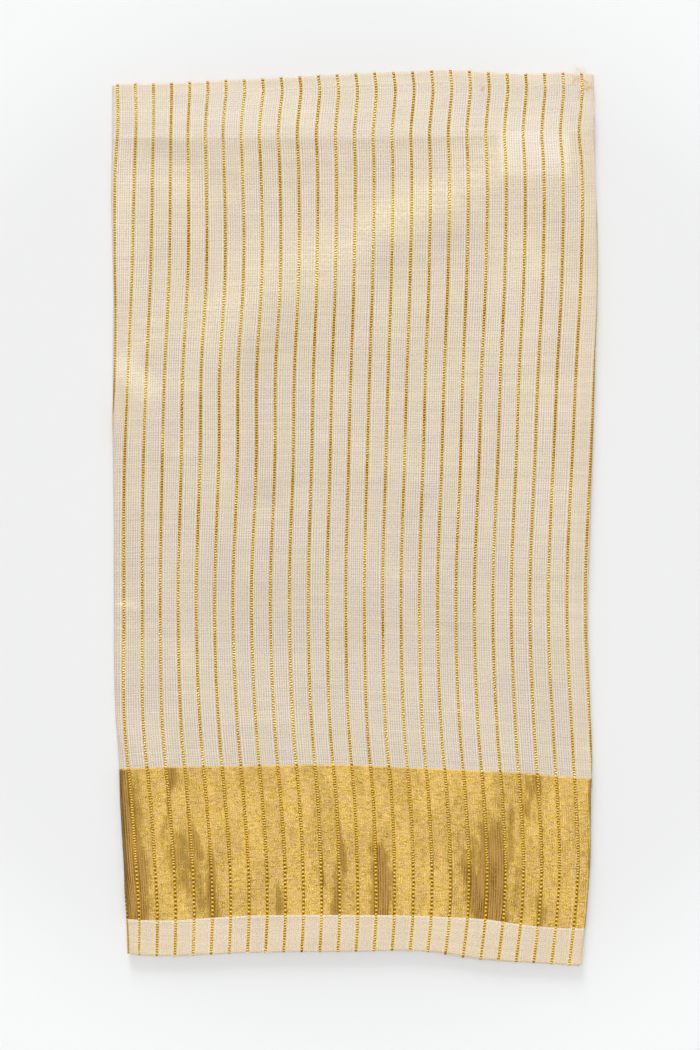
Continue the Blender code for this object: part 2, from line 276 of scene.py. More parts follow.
def waves(x, y, seed, length, count=14):
    """A smooth uneven field of about unit size, with features of a given length."""
    rng = np.random.default_rng(seed)
    total = np.zeros(np.broadcast(x, y).shape)
    for _ in range(count):
        turn, phase = rng.uniform(0, 2 * math.pi, 2)
        rate = 2 * math.pi / (length * rng.uniform(0.7, 1.8))
        total += np.sin(rate * (x * math.cos(turn) + y * math.sin(turn)) + phase)
    return total / math.sqrt(count / 2)


def unevenness(rows, x, y):
    return sum(row.amount * waves(x, y, row.seed, row.length) for row in rows)


def stroke(x, y, row, firmness=2, at_start=1.0):
    """1 along a soft stroke and 0 away from it. Its half width may change from end to end.

    It may start fainter, at a share of its strength.
    """
    along_x, along_y = row.x1 - row.x0, row.y1 - row.y0
    t = ((x - row.x0) * along_x + (y - row.y0) * along_y) / (along_x**2 + along_y**2)
    t = np.clip(t, 0, 1)
    away = np.hypot(x - row.x0 - t * along_x, y - row.y0 - t * along_y)
    width = row.start_width + (row.end_width - row.start_width) * t
    return (at_start + (1 - at_start) * ease(1.5 * t)) * np.exp(-((away / width) ** firmness))


def strokes(rows, x, y, firmness=2):
    """All the strokes of a table together, each as strong as its amount."""
    return sum(row.amount * stroke(x, y, row, firmness) for row in rows)


def top_height(x, y, stripe):
    """Height of the cloth's upper face."""
    hem_line, border_end = crossing("hem_line", stripe), crossing("border_end", stripe)
    from_left = x - left_edge(y) - FOLD_RADIUS
    from_right = right_edge(y) - HEM_RADIUS - x
    dip = ease(from_left / DIP_FROM_FOLD) * ease((from_right - SIDE_HEM) / DIP_FROM_HEM)
    dip = dip * ease((hem_line - y) / DIP_FROM_HEM) * ease((y - border_end) / DIP_FROM_HEM)
    held = ease(from_left / RELIEF_FROM_EDGE) * ease(from_right / RELIEF_FROM_EDGE)
    folds = unevenness(COCKLES, x, y) + strokes(FOLDS + CREASES, x, y)
    return PILE - MIDDLE_DIP * dip + folds * held


# ---------- the cloth's section
QUARTER_TURN = math.pi / 2 * FOLD_RADIUS  # along the left fold, from its side to the top
HEM_TURN = math.pi * HEM_RADIUS
LAP_START = -QUARTER_TURN - LAP


def along_top(x, y):
    """Distance along the upper face to x, from the outermost line of the left fold."""
    return QUARTER_TURN + x - left_edge(y) - FOLD_RADIUS


def hem_turn_start(y):
    return along_top(right_edge(y) - HEM_RADIUS, y)


def stripe_along(number, y):
    """Distance along the face to a stripe, or to a place between two."""
    first = along_rows(FIRST_STRIPE, y, "along")
    second = along_top(stripe_x(np.full(np.shape(number), 2.0), y), y)
    others = along_top(stripe_x(np.clip(number, 2, STRIPES), y), y)
    near_fold = first + (number - 1) * np.where(number > 1, second - first, PITCH)
    return np.where(number < 2, near_fold, others + PITCH * np.maximum(number - STRIPES, 0))


def cloth_point(along, depth, y, stripe):
    """(x, z) at a distance along the cloth's outer face, and at a depth under that face."""
    left, right = left_edge(y), right_edge(y)
    turn = hem_turn_start(y)
    angle = np.clip(along / FOLD_RADIUS, -math.pi / 2, math.pi / 2)
    radius = FOLD_RADIUS - depth
    lap = np.maximum(-along - QUARTER_TURN, 0)
    fold_x = left + FOLD_RADIUS - radius * np.cos(angle) + lap
    fold_z = FOLD_RADIUS + radius * np.sin(angle)
    flat_x = left + FOLD_RADIUS + along - QUARTER_TURN
    flat_z = top_height(flat_x, y, stripe) - depth
    angle = np.clip((along - turn) / HEM_RADIUS, 0, math.pi)
    radius = HEM_RADIUS - depth
    hem_x = right - HEM_RADIUS + radius * np.sin(angle) - np.maximum(along - turn - HEM_TURN, 0)
    hem_z = PILE - HEM_RADIUS + radius * np.cos(angle)
    on_fold, on_flat = along < QUARTER_TURN, along < turn
    x = np.where(on_fold, fold_x, np.where(on_flat, flat_x, hem_x))
    z = np.where(on_fold, fold_z, np.where(on_flat, flat_z, hem_z))
    return x, z


# ---------- meshes
SHARP = math.radians(50)


def make_object(name, data):
    made = bpy.data.objects.new(name, data)
    bpy.context.scene.collection.objects.link(made)
    return made


def quads(grid):
    """Faces over a grid of point numbers, outward where axis 0 runs right and axis 1 down."""
    grid = np.asarray(grid)
    corners = grid[:-1, :-1], grid[:-1, 1:], grid[1:, 1:], grid[1:, :-1]
    return np.stack(corners, axis=-1).reshape(-1, 4).tolist()


def make_mesh(name, points, faces, cloth_uv=None, values=None):
    """An object from points in millimetres, with its cloth coordinates and named values."""
    mesh = bpy.data.meshes.new(name)
    mesh.from_pydata((np.asarray(points) * MM).tolist(), [], [list(map(int, face)) for face in faces])
    if cloth_uv is not None:
        corners = np.empty(len(mesh.loops), int)
        mesh.loops.foreach_get("vertex_index", corners)
        layer = mesh.uv_layers.new(name="cloth")
        layer.data.foreach_set("uv", np.asarray(cloth_uv, np.float32)[corners].ravel())
    for key, value in (values or {}).items():
        attribute = mesh.attributes.new(key, "FLOAT", "POINT")
        attribute.data.foreach_set("value", np.asarray(value, np.float32))
    mesh.shade_smooth()
    mesh.set_sharp_from_angle(angle=SHARP)
    return make_object(name, mesh)


ROUND_FOLD = (0, 0.3, 0.5, 0.62, 0.7, 0.76, 0.82, 0.88, 0.94)
ROUND_HEM = (0.06, 0.13, 0.2, 0.27, 0.35, 0.45, 0.6, 0.8, 1)


def cloth_columns():
    """(stripe's number, share of the lap, share of the hem) of each line down the cloth."""
    edge, beside = BED_HALF / PITCH, (BED_HALF + BED_RIM) / PITCH
    offsets = [-edge, -edge / 2, 0, edge / 2, edge]
    offsets += [beside + (1 - 2 * beside) * i / 5 for i in range(6)]
    columns = [(1 - edge, share, 1.0) for share in ROUND_FOLD]
    for number in range(1, STRIPES + 1):
        own = offsets if number < STRIPES else offsets[:5]
        columns += [(number + offset, 1.0, 0.0) for offset in own]
    columns += [(STRIPES + edge, 1.0, share) for share in ROUND_HEM]
    return [np.array(part)[:, None] for part in zip(*columns)]


def column_along(stripes, lap_share, hem_share, y):
    """Distances along the face for each column (first axis) and row (second axis)."""
    on_lap, on_hem = lap_share < 1, (hem_share > 0) & (lap_share == 1)
    own = stripe_along(stripes, y)
    hem_end = hem_turn_start(y) + HEM_TURN + SIDE_HEM - 2 * HEM_RADIUS
    own = np.where(on_lap, LAP_START + (own - LAP_START) * lap_share, own)
    return np.where(on_hem, own + (hem_end - own) * hem_share, own)


def row_shares(stretch):
    """The rows of a stretch: (share from its upper line to its lower one, inset in mm, drop)."""
    nose = [(NOSE * s, NOSE * (1 - math.sqrt(1 - (1 - s) ** 2))) for s in NOSE_ROWS]
    rows = [(i / stretch.rows, 0.0, 0.0) for i in range(stretch.rows + 1)]
    if stretch.above == "top":
        rows = [(0.0, inset, drop) for inset, drop in nose] + rows[1:]
    if stretch.below == "bottom":
        rows = rows[:-1] + [(1.0, -inset, drop) for inset, drop in reversed(nose)]
    return rows


def make_cloth(stretch):
    """One stretch of the upper cloth: a thin shell from its lap, round the fold, to its hem."""
    numbers, lap_share, hem_share = cloth_columns()
    share, inset, drop = (np.array(part)[None, :] for part in zip(*row_shares(stretch)))
    above, below = crossing(stretch.above, numbers), crossing(stretch.below, numbers)
    y = above + (below - above) * share - inset
    stripes = np.broadcast_to(numbers, y.shape)
    along = column_along(stripes, lap_share, hem_share, y)
    bed = np.maximum(1 - (np.abs(numbers - np.round(numbers)) * PITCH / BED_HALF) ** 2, 0)
    showing = ease(0.5 + along / FOLD_RADIUS) * ease(2 - (along - hem_turn_start(y)) / HEM_RADIUS)
    columns, rows = y.shape
    kept = [*range(0, columns - 1, 3), columns - 1]  # the columns of the inner face
    both = np.r_[0:columns, kept]
    depth = drop - BED_HEIGHT * bed * showing
    depth = np.concatenate([depth, np.full((len(kept), rows), SHELL)])
    x, z = cloth_point(along[both], depth, y[both], stripes[both])
    points = np.stack([x, y[both], z], axis=-1).reshape(-1, 3)

    out, inn = np.split(np.arange(len(points)).reshape(-1, rows), [columns])
    faces = quads(out) + quads(inn.T)
    faces += quads([out[0, ::-1], inn[0, ::-1]]) + quads([out[-1], inn[-1]])
    for k, (here, there) in enumerate(zip(kept, kept[1:])):
        span = out[here : there + 1]
        faces.append([inn[k, 0], *span[:, 0], inn[k + 1, 0]])
        faces.append([inn[k + 1, -1], *span[::-1, -1], inn[k, -1]])

    nearest = np.clip(stripes, 1.0, STRIPES)
    past = (along - stripe_along(nearest, y)) / PITCH
    woven = nearest + np.where(stripes == nearest, 0, past)
    top, bottom = WOVEN[stretch.above], WOVEN[stretch.below]
    down = np.broadcast_to(top + (bottom - top) * share - inset, y.shape)
    cloth_uv = np.stack([woven * PITCH, down], axis=-1)[both].reshape(-1, 2)
    values = patch_values(stretch, *points[:, :2].T, stripes[both].ravel())
    return make_mesh(stretch.name, points, faces, cloth_uv, values)


# ---------- painted light and shade: glints, paler and darker patches
# Strokes of painted glint where the tissue's zari catches the light, of painted light and
# shade where it lies paler or darker, and of painted shade where the border's gold faces away
# from the light and its dull warp shows through.
PAINTED_GLINTS = table(
    STROKE,
    (-100, 72, -62, 86, 8, 12, 0.35),
    (-62, 86, -16, 106, 12, 12, 0.5),
    (-16, 107, 12, 126, 11, 8.5, 0.65),
    (12, 126, 40, 137, 8.5, 7.5, 0.8),
    (40, 137, 58, 150, 8, 9, 0.5),
    (-95, 62, -86, 54, 6, 6, 0.5),
    (-78, 58, -66, 56, 3, 3, 0.4),
    (-84, 146, -72, 141, 6, 5, 0.3),
    (72, 112, 80, 104, 5, 5, 0.3),
    (28, 56, 48, 60, 6, 8, 0.25),
    (-98, -36, -92, -37, 2, 2, 0.9),
    (0, 30, 28, 18, 6, 6, 0.2),
    (60, 6, 88, 12, 8, 8, 0.2),
)
# Mostly painted light and shade: paler where the cloth faces the light, darker below its ridge and in
# its dips.
PAINTED_LIGHT_AND_SHADE = table(
    STROKE,
    (-84, 171, -22, 172, 9, 9, 0.035),
    (-20, 170, 56, 172, 8, 8, 0.015),
    (-84, 156, -70, 152, 5, 4, -0.07),
    (-56, 148, 30, 152, 10, 8, -0.03),
    (-99, 156, -96, 100, 5, 6, 0.05),
    (-94, 142, -70, 138, 6, 5, 0.05),
    (-96, 64, -87, 54, 6, 6, 0.09),
    (0, 77.7, 96, 77.7, 0.9, 0.9, 0.05),  # one thicker pick
    (-26, 70, 24, 72, 14, 14, -0.02),
    (-40, 70, -6, 84, 9, 8, -0.03),
    (-2, 86, 14, 103, 7, 7, -0.04),
    (18, 109, 50, 118, 8, 7, -0.04),
    (-56, 88, 34, 132, 9, 9, 0.02),
    (-44, 66, -34, 20, 10, 12, -0.035),
    (-98, 30, -94, -20, 4, 4, -0.03),
    (-64, -34, 48, -48, 14, 12, -0.025),
    (64, 96, 84, -10, 12, 12, 0.03),
    (-96, -86, -84, -96, 8, 8, 0.05),
    (-70, -78, 80, -90, 10, 10, 0.025),
)

# A painted highlight: the palest square of the cloth, below the top right corner, and fainter
# across the hem.
HIGHLIGHT_SQUARES = table(
    "left right bottom top soft amount",
    (58.5, 92.5, 141.8, 163.5, 3.5, 0.11),
    (59.0, 92.0, 156.0, 172.5, 4.0, 0.045),
)
# Painted shade in the border: dark patches where its gold faces away from the light, partly its dull
# mauve warp showing through.
WARP_AND_PAINTED_SHADE = table(
    STROKE,
    (-99, -92, -96, -131, 4.4, 5.4, 1.5),  # down the left fold
    (-95.5, -118, -92, -169, 5.6, 6.4, 1.5),
    (-92.5, -128, -92, -157, 3.4, 3.8, 1.2),
    (-78.2, -123, -76.3, -103, 1.6, 2.7, 1.0),
    (-79.5, -140, -78.4, -117, 1.6, 1.5, 0.5),
    (-80, -120, -70, -152, 8.0, 8.4, 0.62),
    (-77, -130, -76.5, -147, 2.4, 2.6, 0.85),
    (-70, -124, -66, -142, 2.2, 3.0, 0.8),
    (-68.5, -140, -64, -163, 2.4, 3.2, 0.5),
    (-61.2, -132, -60.2, -158, 1.7, 2.2, 0.95),
    (-60.4, -148, -59.8, -169, 2.2, 3.0, 0.95),
    (-32, -150, -31.3, -168, 1.8, 2.8, 0.7),
    (-9, -116, -4.2, -148, 1.4, 2.2, 0.75),  # two narrow ones near the middle
    (-7.0, -142, -7.8, -169, 2.4, 3.2, 0.8),
    (-13.8, -139, -13.6, -154, 0.9, 1.0, 0.7),
    (3.5, -124, 7.5, -141, 2.0, 2.6, 0.55),
    (9.6, -126, 11.4, -169, 3.4, 4.2, 1.45),
    (10.4, -140, 10.8, -154, 4.6, 5.0, 1.0),
    (43.0, -132, 54.5, -169, 3.0, 4.6, 1.3),  # the largest, and its branch
    (54.6, -120, 57.6, -170, 4.8, 5.6, 1.5),
    (57.0, -122, 61.5, -146, 4.2, 4.6, 0.95),
    (60.0, -118, 61, -170, 2.6, 3.2, 1.4),
    (54.2, -118, 55.2, -147, 2.0, 3.4, 0.9),
    (49, -126, 50.5, -148, 2.6, 3.2, 0.7),
    (68, -141, 76, -107, 5.4, 4.8, 0.6),
    (76.2, -128, 77.4, -104, 1.9, 2.0, 0.65),
    (66, -118, 65.6, -143, 1.5, 2.2, 0.7),
    (68.6, -130, 67.6, -164, 2.6, 2.0, 0.5),
    (77.8, -148, 78.4, -170, 1.7, 2.8, 0.65),
)

# How brightly the stripes glint, down the cloth: painted glint in their colour.
GLINTS = table(
    "y amount",
    (188, 0.58),
    (170, 0.58),
    (140, 0.46),
    (100, 0.40),
    (60, 0.34),
    (25, 0.30),
    (-15, 0.44),
    (-60, 0.60),
    (-100, 0.60),
    (-109, 0.72),
    (-160, 0.72),
    (-170, 0.55),
    (-188, 0.50),
)
TIP, TIP_GLINT = 1.0, 0.05  # the stripes' upper ends turn over the edge and lie darker, in painted shade
PAINTED_GLINT_SHARE, SHADE_GLINT = 0.8, 2.5  # how far the painted glints, and the painted light and shade, change it


def painted_highlight_squares(x, y):
    """How much painted highlight the cloth gets inside the soft sides of the squares."""
    total = np.zeros(np.shape(x))
    for row in HIGHLIGHT_SQUARES:
        across = ease((x - row.left) / row.soft) * ease((row.right - x) / row.soft)
        down = ease((y - row.bottom) / row.soft) * ease((row.top - y) / row.soft)
        total = total + row.amount * across * down
    return total


def stripe_glint(x, y, stripe):
    """How brightly a stripe's painted glint shows at each point, about 0 to 1."""
    number = np.round(stripe)
    glint = along_rows(GLINTS, y, "amount")
    glint = glint + 0.10 * waves(x, y, 31, 34) + 0.09 * waves(number * 40, y, 32, 15)
    glint = np.where(y > crossing("top", number) - TIP, TIP_GLINT, glint)
    glint = glint + PAINTED_GLINT_SHARE * strokes(PAINTED_GLINTS, x, y)
    return glint + SHADE_GLINT * (strokes(PAINTED_LIGHT_AND_SHADE, x, y) + painted_highlight_squares(x, y))


def patch_values(stretch, x, y, stripe):
    """Painted glint on the tissue and painted shade on the border, how pale the cloth lies there with
    painted light and shade, and its stripes' painted glint.
    """
    rows, at_start = (WARP_AND_PAINTED_SHADE, 0.2) if stretch.name == "border_cloth" else (PAINTED_GLINTS, 1.0)
    strongest = np.max([row.amount * stroke(x, y, row, at_start=at_start) for row in rows], axis=0)
    patch = strongest + unevenness(PATCH_WAVES, x, y)
    pale = unevenness(PALE_WAVES, x, y) + strokes(PAINTED_LIGHT_AND_SHADE, x, y, 3) + painted_highlight_squares(x, y)
    return {"patch": patch, "pale": pale, "glint": np.clip(stripe_glint(x, y, stripe), 0, 1)}


# ---------- zari grains and stitches
BAR_STATIONS = ((-1.0, 0.45), (-0.5, 0.95), (0.5, 0.95), (1.0, 0.45))  # (place, thickness)
BAR_TURNS = np.radians([0, 60, 120, 180])
BAR = np.array([
    (place, thick * math.cos(turn), thick * math.sin(turn))
    for place, thick in BAR_STATIONS for turn in BAR_TURNS
])


def lay_bars(name, along, y, stripe, sizes, turned, values=None):
    """Many small rounded bars on the cloth, one mesh. Each lies across the cloth, but turned.

    Their sizes are half length, half width, height, and how high they start above the cloth.
    """
    along, y, stripe, turned = (np.asarray(a, float)[:, None] for a in (along, y, stripe, turned))
    half_long, half_wide, height, lift = (np.broadcast_to(s, len(y))[:, None] for s in sizes)
    cos, sin = np.cos(turned), np.sin(turned)
    across, down = BAR[:, 0] * half_long, BAR[:, 1] * half_wide
    high = BAR[:, 2] * height + lift
    py = y + across * sin + down * cos
    at = along + across * cos - down * sin
    x, z = cloth_point(at, -high, py, np.broadcast_to(stripe, py.shape))
    points = np.stack([x, py, z], axis=-1).reshape(-1, 3)
    rings = np.arange(len(BAR)).reshape(len(BAR_STATIONS), -1)
    one = quads(np.c_[rings, rings[:, 0]]) + [rings[0, ::-1], rings[-1]]
    faces = (np.array(one) + len(BAR) * np.arange(len(y))[:, None, None]).reshape(-1, 4)
    values = {key: np.repeat(value, len(BAR)) for key, value in (values or {}).items()}
    return make_mesh(name, points, faces, values=values)


FINE_PICK, COARSE_PICK = 1.07, 1.66  # from one zari grain to the next
COARSE_FROM = -143.5  # where the coarse grains of the border begin
FOLD_GRAINS_FROM = -1.2  # the first stripe shows no further round the fold than this
HEM_GRAINS_TO = 1.9  # nor the last one further round the side hem than this
GRAIN_SUNK = 0.03  # how deep the grains sit in the ridge under them

# A grain's half length across the stripe, half width, height, its step to each side of the
# stripe in turn, and how far its colour goes to the border's gold or to the dark of a dot.
Grain = namedtuple("Grain", "half_long half_wide height step gold dot")
ON_GROUND = Grain(0.62, 0.28, 0.32, 0.10, 0.0, 0.0)
ON_HEM = Grain(0.66, 0.28, 0.32, 0.10, 0.3, 0.0)
FINE_DOT = Grain(0.50, 0.27, 0.12, 0.12, 1.0, 0.9)
FINE_LINK = Grain(0.54, 0.25, 0.32, -0.08, 0.6, 0.0)
DOT = Grain(0.50, 0.43, 0.14, 0.05, 1.0, 0.92)
LINK = Grain(0.46, 0.30, 0.24, -0.05, 0.6, 0.0)
# What makes up one pick, at each share of the way down it.
GRAINS = {
    "top_hem_cloth": ((0.0, ON_GROUND),),
    "ground_cloth": ((0.0, ON_GROUND),),
    "border_cloth": ((0.0, FINE_DOT), (0.5, FINE_LINK)),
    "bottom_hem_cloth": ((0.0, ON_HEM),),
}
COARSE_GRAINS = ((0.0, DOT), (0.5, LINK))


def zari_picks(stretch):
    """(stripe, place down the cloth, side it steps to, *kind) of each grain on a stretch."""
    top, bottom = WOVEN[stretch.above], WOVEN[stretch.below]
    picks = []
    for stripe in range(1, STRIPES + 1):
        start = WOVEN["top"] - FINE_PICK * (0.4 + 0.3 * math.sin(2.4 * stripe))
        place = start - FINE_PICK * math.ceil((start - top) / FINE_PICK)
        side = 1
        while place > bottom:
            is_coarse = stretch.name == "border_cloth" and place < COARSE_FROM
            pick = COARSE_PICK if is_coarse else FINE_PICK
            for share, kind in COARSE_GRAINS if is_coarse else GRAINS[stretch.name]:
                picks.append((stripe, place - pick * share, side, *kind))
            place -= pick
            side = -side
    return np.array(picks).T


def make_grains(stretch):
    """The zari of all the stripes on one stretch, grain by grain."""
    top, bottom = WOVEN[stretch.above], WOVEN[stretch.below]
    rng = np.random.default_rng(20 + len(stretch.name))
    picks = zari_picks(stretch)
    picks[1] += rng.normal(0, 0.02, len(picks[1]))
    inside = (picks[1] < top) & (picks[1] > max(bottom, WOVEN["bottom"] + 0.3))
    number, down, side, *kind = picks[:, inside]
    kind = Grain(*kind)
    above, below = crossing(stretch.above, number), crossing(stretch.below, number)
    y = above + (below - above) * (top - down) / (top - bottom)
    along = stripe_along(number, y) + kind.step * side + rng.normal(0, 0.05, len(y))
    x = left_edge(y) + FOLD_RADIUS + along - QUARTER_TURN
    glint = stripe_glint(x, y, number) + rng.normal(0, 0.14, len(y))
    half_long = kind.half_long * rng.uniform(0.93, 1.05, len(y))
    half_wide = kind.half_wide * rng.uniform(0.94, 1.06, len(y))
    height = kind.height * rng.uniform(0.9, 1.1, len(y))
    tilt = rng.normal(0.05, 0.06, len(y)) + kind.step * side + 0.24 * waves(number * 40, y, 33, 16)
    shown = (along > FOLD_GRAINS_FROM) & (along < hem_turn_start(y) + HEM_GRAINS_TO)
    values = {"glint": np.clip(glint, 0, 1), "gold": kind.gold, "dot": kind.dot}
    values = {key: value[shown] for key, value in values.items()}
    sizes = (half_long[shown], half_wide[shown], height[shown], BED_HEIGHT - GRAIN_SUNK)
    name = stretch.name.replace("cloth", "zari")
    return lay_bars(name, along[shown], y[shown], number[shown], sizes, tilt[shown], values)


STITCH_STEP = 2.3
STITCH_LONG, STITCH_WIDE, STITCH_HIGH = 0.85, 0.17, 0.2
SIDE_STITCH_LONG, SIDE_STITCH_WIDE = 1.0, 0.11
SEWN = {"top": 5.0, "hem_line": -0.9, "border_end": 0.7}  # how far below each line a row runs
SIDE_SEAM = (-183.0, 184.0)  # y of the ends of the right hem's row
SIDE_SEAM_INSIDE = 0.8  # from the hem's inner edge
SIDE_SEAM_STRIPE = 26.6  # where it lies among the stripes


def make_stitches():
    """The sewing: a row along each of three lines across the cloth, and one down the right hem."""
    rng = np.random.default_rng(51)
    rows = []
    steps = int(PITCH * (STRIPES - 1) / STITCH_STEP)
    number = 1.0 + (STRIPES - 1.1) * (np.arange(steps) + 0.5) / steps
    for line, inside in SEWN.items():
        y = crossing(line, number) - inside + rng.normal(0, 0.08, steps)
        turned = rng.normal(0, 0.05, steps)
        rows.append((stripe_along(number, y), y, number, turned, STITCH_LONG, STITCH_WIDE))
    y = np.arange(*SIDE_SEAM, STITCH_STEP)
    inner_edge = hem_turn_start(y) + HEM_RADIUS - SIDE_HEM
    along = inner_edge + SIDE_SEAM_INSIDE + rng.normal(0, 0.06, len(y))
    turned = math.pi / 2 + rng.normal(0, 0.05, len(y))
    rows.append((along, y, SIDE_SEAM_STRIPE, turned, SIDE_STITCH_LONG, SIDE_STITCH_WIDE))
    rows = np.concatenate([np.broadcast_arrays(*row) for row in rows], axis=1)
    along, y, stripe, turned, half_long, half_wide = rows
    sizes = (half_long, half_wide, STITCH_HIGH, 0.0)
    return lay_bars("hem_stitches", along, y, stripe, sizes, turned)


KNOTS = table(
    "x y reach count",
    (93.0, 183.6, 1.6, 16),  # where the sewing of the top right corner starts and stops
    (97.6, 181.2, 2.6, 30),
    (94.6, 178.4, 1.2, 9),
    (53.8, 180.4, 0.7, 7),
)
TACK_RIGHT, TACK_TOP = 99.8, 185.4  # the knots stay on the cloth
TACK_STRIPE, TACK_STRIPE_X = 26, 94.9  # the stripe that they lie beside
TACK_SIZES = (0.75, 0.13, 0.22, 0.06)


def make_bar_tack():
    """The knots of stitches that lock the top right corner, and one further along the hem."""
    rng = np.random.default_rng(61)
    x, y = (
        np.concatenate([at[i] + rng.normal(0, 0.6 * at.reach, at.count) for at in KNOTS])
        for i in range(2)
    )
    x, y = np.minimum(x, TACK_RIGHT), np.minimum(y, TACK_TOP)
    stripe = TACK_STRIPE + (x - TACK_STRIPE_X) / PITCH
    turned = rng.choice([0.3, -0.5, 1.2, 1.8], len(x)) + rng.normal(0, 0.3, len(x))
    return lay_bars("corner_tack", along_top(x, y), y, stripe, TACK_SIZES, turned)


LOOSE_ENDS = table(
    "x lean reach",
    (94.6, -0.5, 4.2),
    (95.2, 0.1, 3.4),
    (95.6, 0.5, 2.6),
    (94.0, -0.2, 2.2),
)
LOOSE_FROM = 185.6


def make_loose_ends():
    """Thread ends that stand out past the top right corner."""
    rng = np.random.default_rng(71)
    curve = bpy.data.curves.new("loose_ends", "CURVE")
    curve.dimensions = "3D"
    curve.bevel_depth = 0.14 * MM
    curve.bevel_resolution = 2
    curve.use_fill_caps = True
    for end in LOOSE_ENDS:
        spline = curve.splines.new("NURBS")
        spline.points.add(4)
        spline.use_endpoint_u = True
        spline.order_u = 4
        for i, point in enumerate(spline.points):
            share = i / 4
            x = end.x + end.lean * end.reach * share**2 + rng.normal(0, 0.15)
            y = LOOSE_FROM + (end.reach + 1.0) * share
            z = PILE + 0.25 * math.sin(math.pi * share) - 0.9 * share
            point.co = (x * MM, y * MM, z * MM, 1)
    return make_object("loose_ends", curve)


# ---------- the hidden layers
# Levels from the underside up: how far the open edges draw in, whether the level reaches out
# under the right hem, and whether it lies beside the lap or inside the fold.
BACK_TOP = 1.6  # the back panel with its own turned hems
FRONT_HEM = 2.0  # underside of the upper cloth's turned hems
LEVELS = table(
    "z drawn_in under_hem beside_lap",
    (0.0, 0.8, True, True),
    (0.1, 0.42, True, True),
    (0.3, 0.16, True, True),
    (0.8, 0.0, True, True),
    (0.85, 0.0, True, False),
    (1.3, 0.16, True, False),
    (1.5, 0.42, True, False),
    (BACK_TOP, 0.8, True, False),
    (BACK_TOP, 3.0, False, False),
    (FRONT_HEM, 3.0, False, False),
    (FRONT_HEM, 0.8, False, False),
    (2.1, 0.42, False, False),
    (2.3, 0.16, False, False),
    (2.78, 0.05, False, False),
)
UNDER_ROOM = 0.08  # between the upper cloth and what it lies on
BACK_SHORT = 0.3
BACK_PEEK = 0.5
PEEK_Y = 106.0
PEEK_REACH = 34.0
UNDER_COLUMNS, UNDER_ROWS = 80, 180
# the hidden layers' stripes, with a middling painted glint
UNDER_GLINT = 0.6


def under_left(level, y):
    """Left side of a level: beside the lap, or following the inside of the fold."""
    centre = left_edge(y) + FOLD_RADIUS
    if level.beside_lap:
        return centre + LAP + 0.3
    radius = FOLD_RADIUS - SHELL - 0.04
    height = np.clip((level.z - FOLD_RADIUS) / radius, -1, 1)
    return centre - radius * math.sqrt(1 - height**2)


def under_right(level, y):
    if not level.under_hem:
        return right_edge(y) - SIDE_HEM - 0.6 - level.drawn_in
    peek = np.exp(-(((y - PEEK_Y) / PEEK_REACH) ** 4))
    return right_edge(y) - BACK_SHORT + (BACK_PEEK + BACK_SHORT) * peek - level.drawn_in


def make_under():
    """The turned hems and the back panel, layered at the three open edges."""
    columns, rows = UNDER_COLUMNS, UNDER_ROWS

    def place(level, c, r):
        stripe = 1 + (STRIPES - 1) * c / columns
        top = crossing("top", stripe) - BACK_SHORT - level.drawn_in
        bottom = crossing("bottom", stripe) + BACK_SHORT + level.drawn_in
        y = top + (bottom - top) * r / rows
        left = under_left(level, y)
        x = left + (under_right(level, y) - left) * c / columns
        return np.stack([x, y, np.broadcast_to(level.z, x.shape)], axis=-1)

    rim = [(c, 0) for c in range(columns)] + [(columns, r) for r in range(rows)]
    rim += [(c, rows) for c in range(columns, 0, -1)] + [(0, r) for r in range(rows, 0, -1)]
    rim_c, rim_r = np.array(rim).T
    grid_c, grid_r = np.mgrid[0 : columns + 1.0, 0 : rows + 1.0]
    under = place(LEVELS[0], grid_c, grid_r).reshape(-1, 3)
    loops = [place(level, rim_c, rim_r) for level in LEVELS[1:-1]]
    crown = place(LEVELS[-1], grid_c, grid_r)
    stripe = 1 + (STRIPES - 1) * grid_c / columns
    room = top_height(crown[..., 0], crown[..., 1], stripe) - SHELL - UNDER_ROOM
    crown[..., 2] = np.minimum(crown[..., 2], room)
    points = np.concatenate([under, *loops, crown.reshape(-1, 3)])

    size = len(under)
    below, around, above = np.split(np.arange(len(points)), [size, len(points) - size])
    below, above = below.reshape(grid_c.shape), above.reshape(grid_c.shape)
    around = around.reshape(-1, len(rim))
    walls = np.array([below[rim_c, rim_r], *around, above[rim_c, rim_r]])
    faces = quads(np.c_[walls, walls[:, 0]].T) + quads(below.T) + quads(above.T[::-1])
    number = np.minimum(stripe_at(points[:, 0], points[:, 1]), STRIPES - 0.5)
    uv = np.stack([number * PITCH, woven_down(points[:, 1], number)], axis=-1)
    none = np.zeros(len(points))
    values = {"patch": none, "pale": none, "glint": none + UNDER_GLINT}
    return make_mesh("under_layers", points, faces, uv, values)


# ---------- materials
def rgb(red, green, blue):
    return (red, green, blue, 1.0)


WARP_PITCH, WEFT_PITCH = PITCH / 8, 1.07
WEAVE_DEPTH, BORDER_WEAVE_DEPTH = 0.08, 0.14
LONG_STREAK, SHORT_STREAK = 0.13, 0.08  # how unevenly pale the weft lies
FADE_FROM, FADE_TO = 150.0, -60.0  # down the cloth, where painted shade makes it a little greyer as the light falls off
STITCHED_EDGE = 181.6  # the strip above the top stitching is yellower
STITCHED_SIDE = 26.0 * PITCH - 1.2  # and so is the right hem
BORDER_START = WOVEN["border_top"] + 0.3, WOVEN["border_top"] - 0.3
BORDER_END = WOVEN["border_end"] - 0.3, WOVEN["border_end"] + 0.3

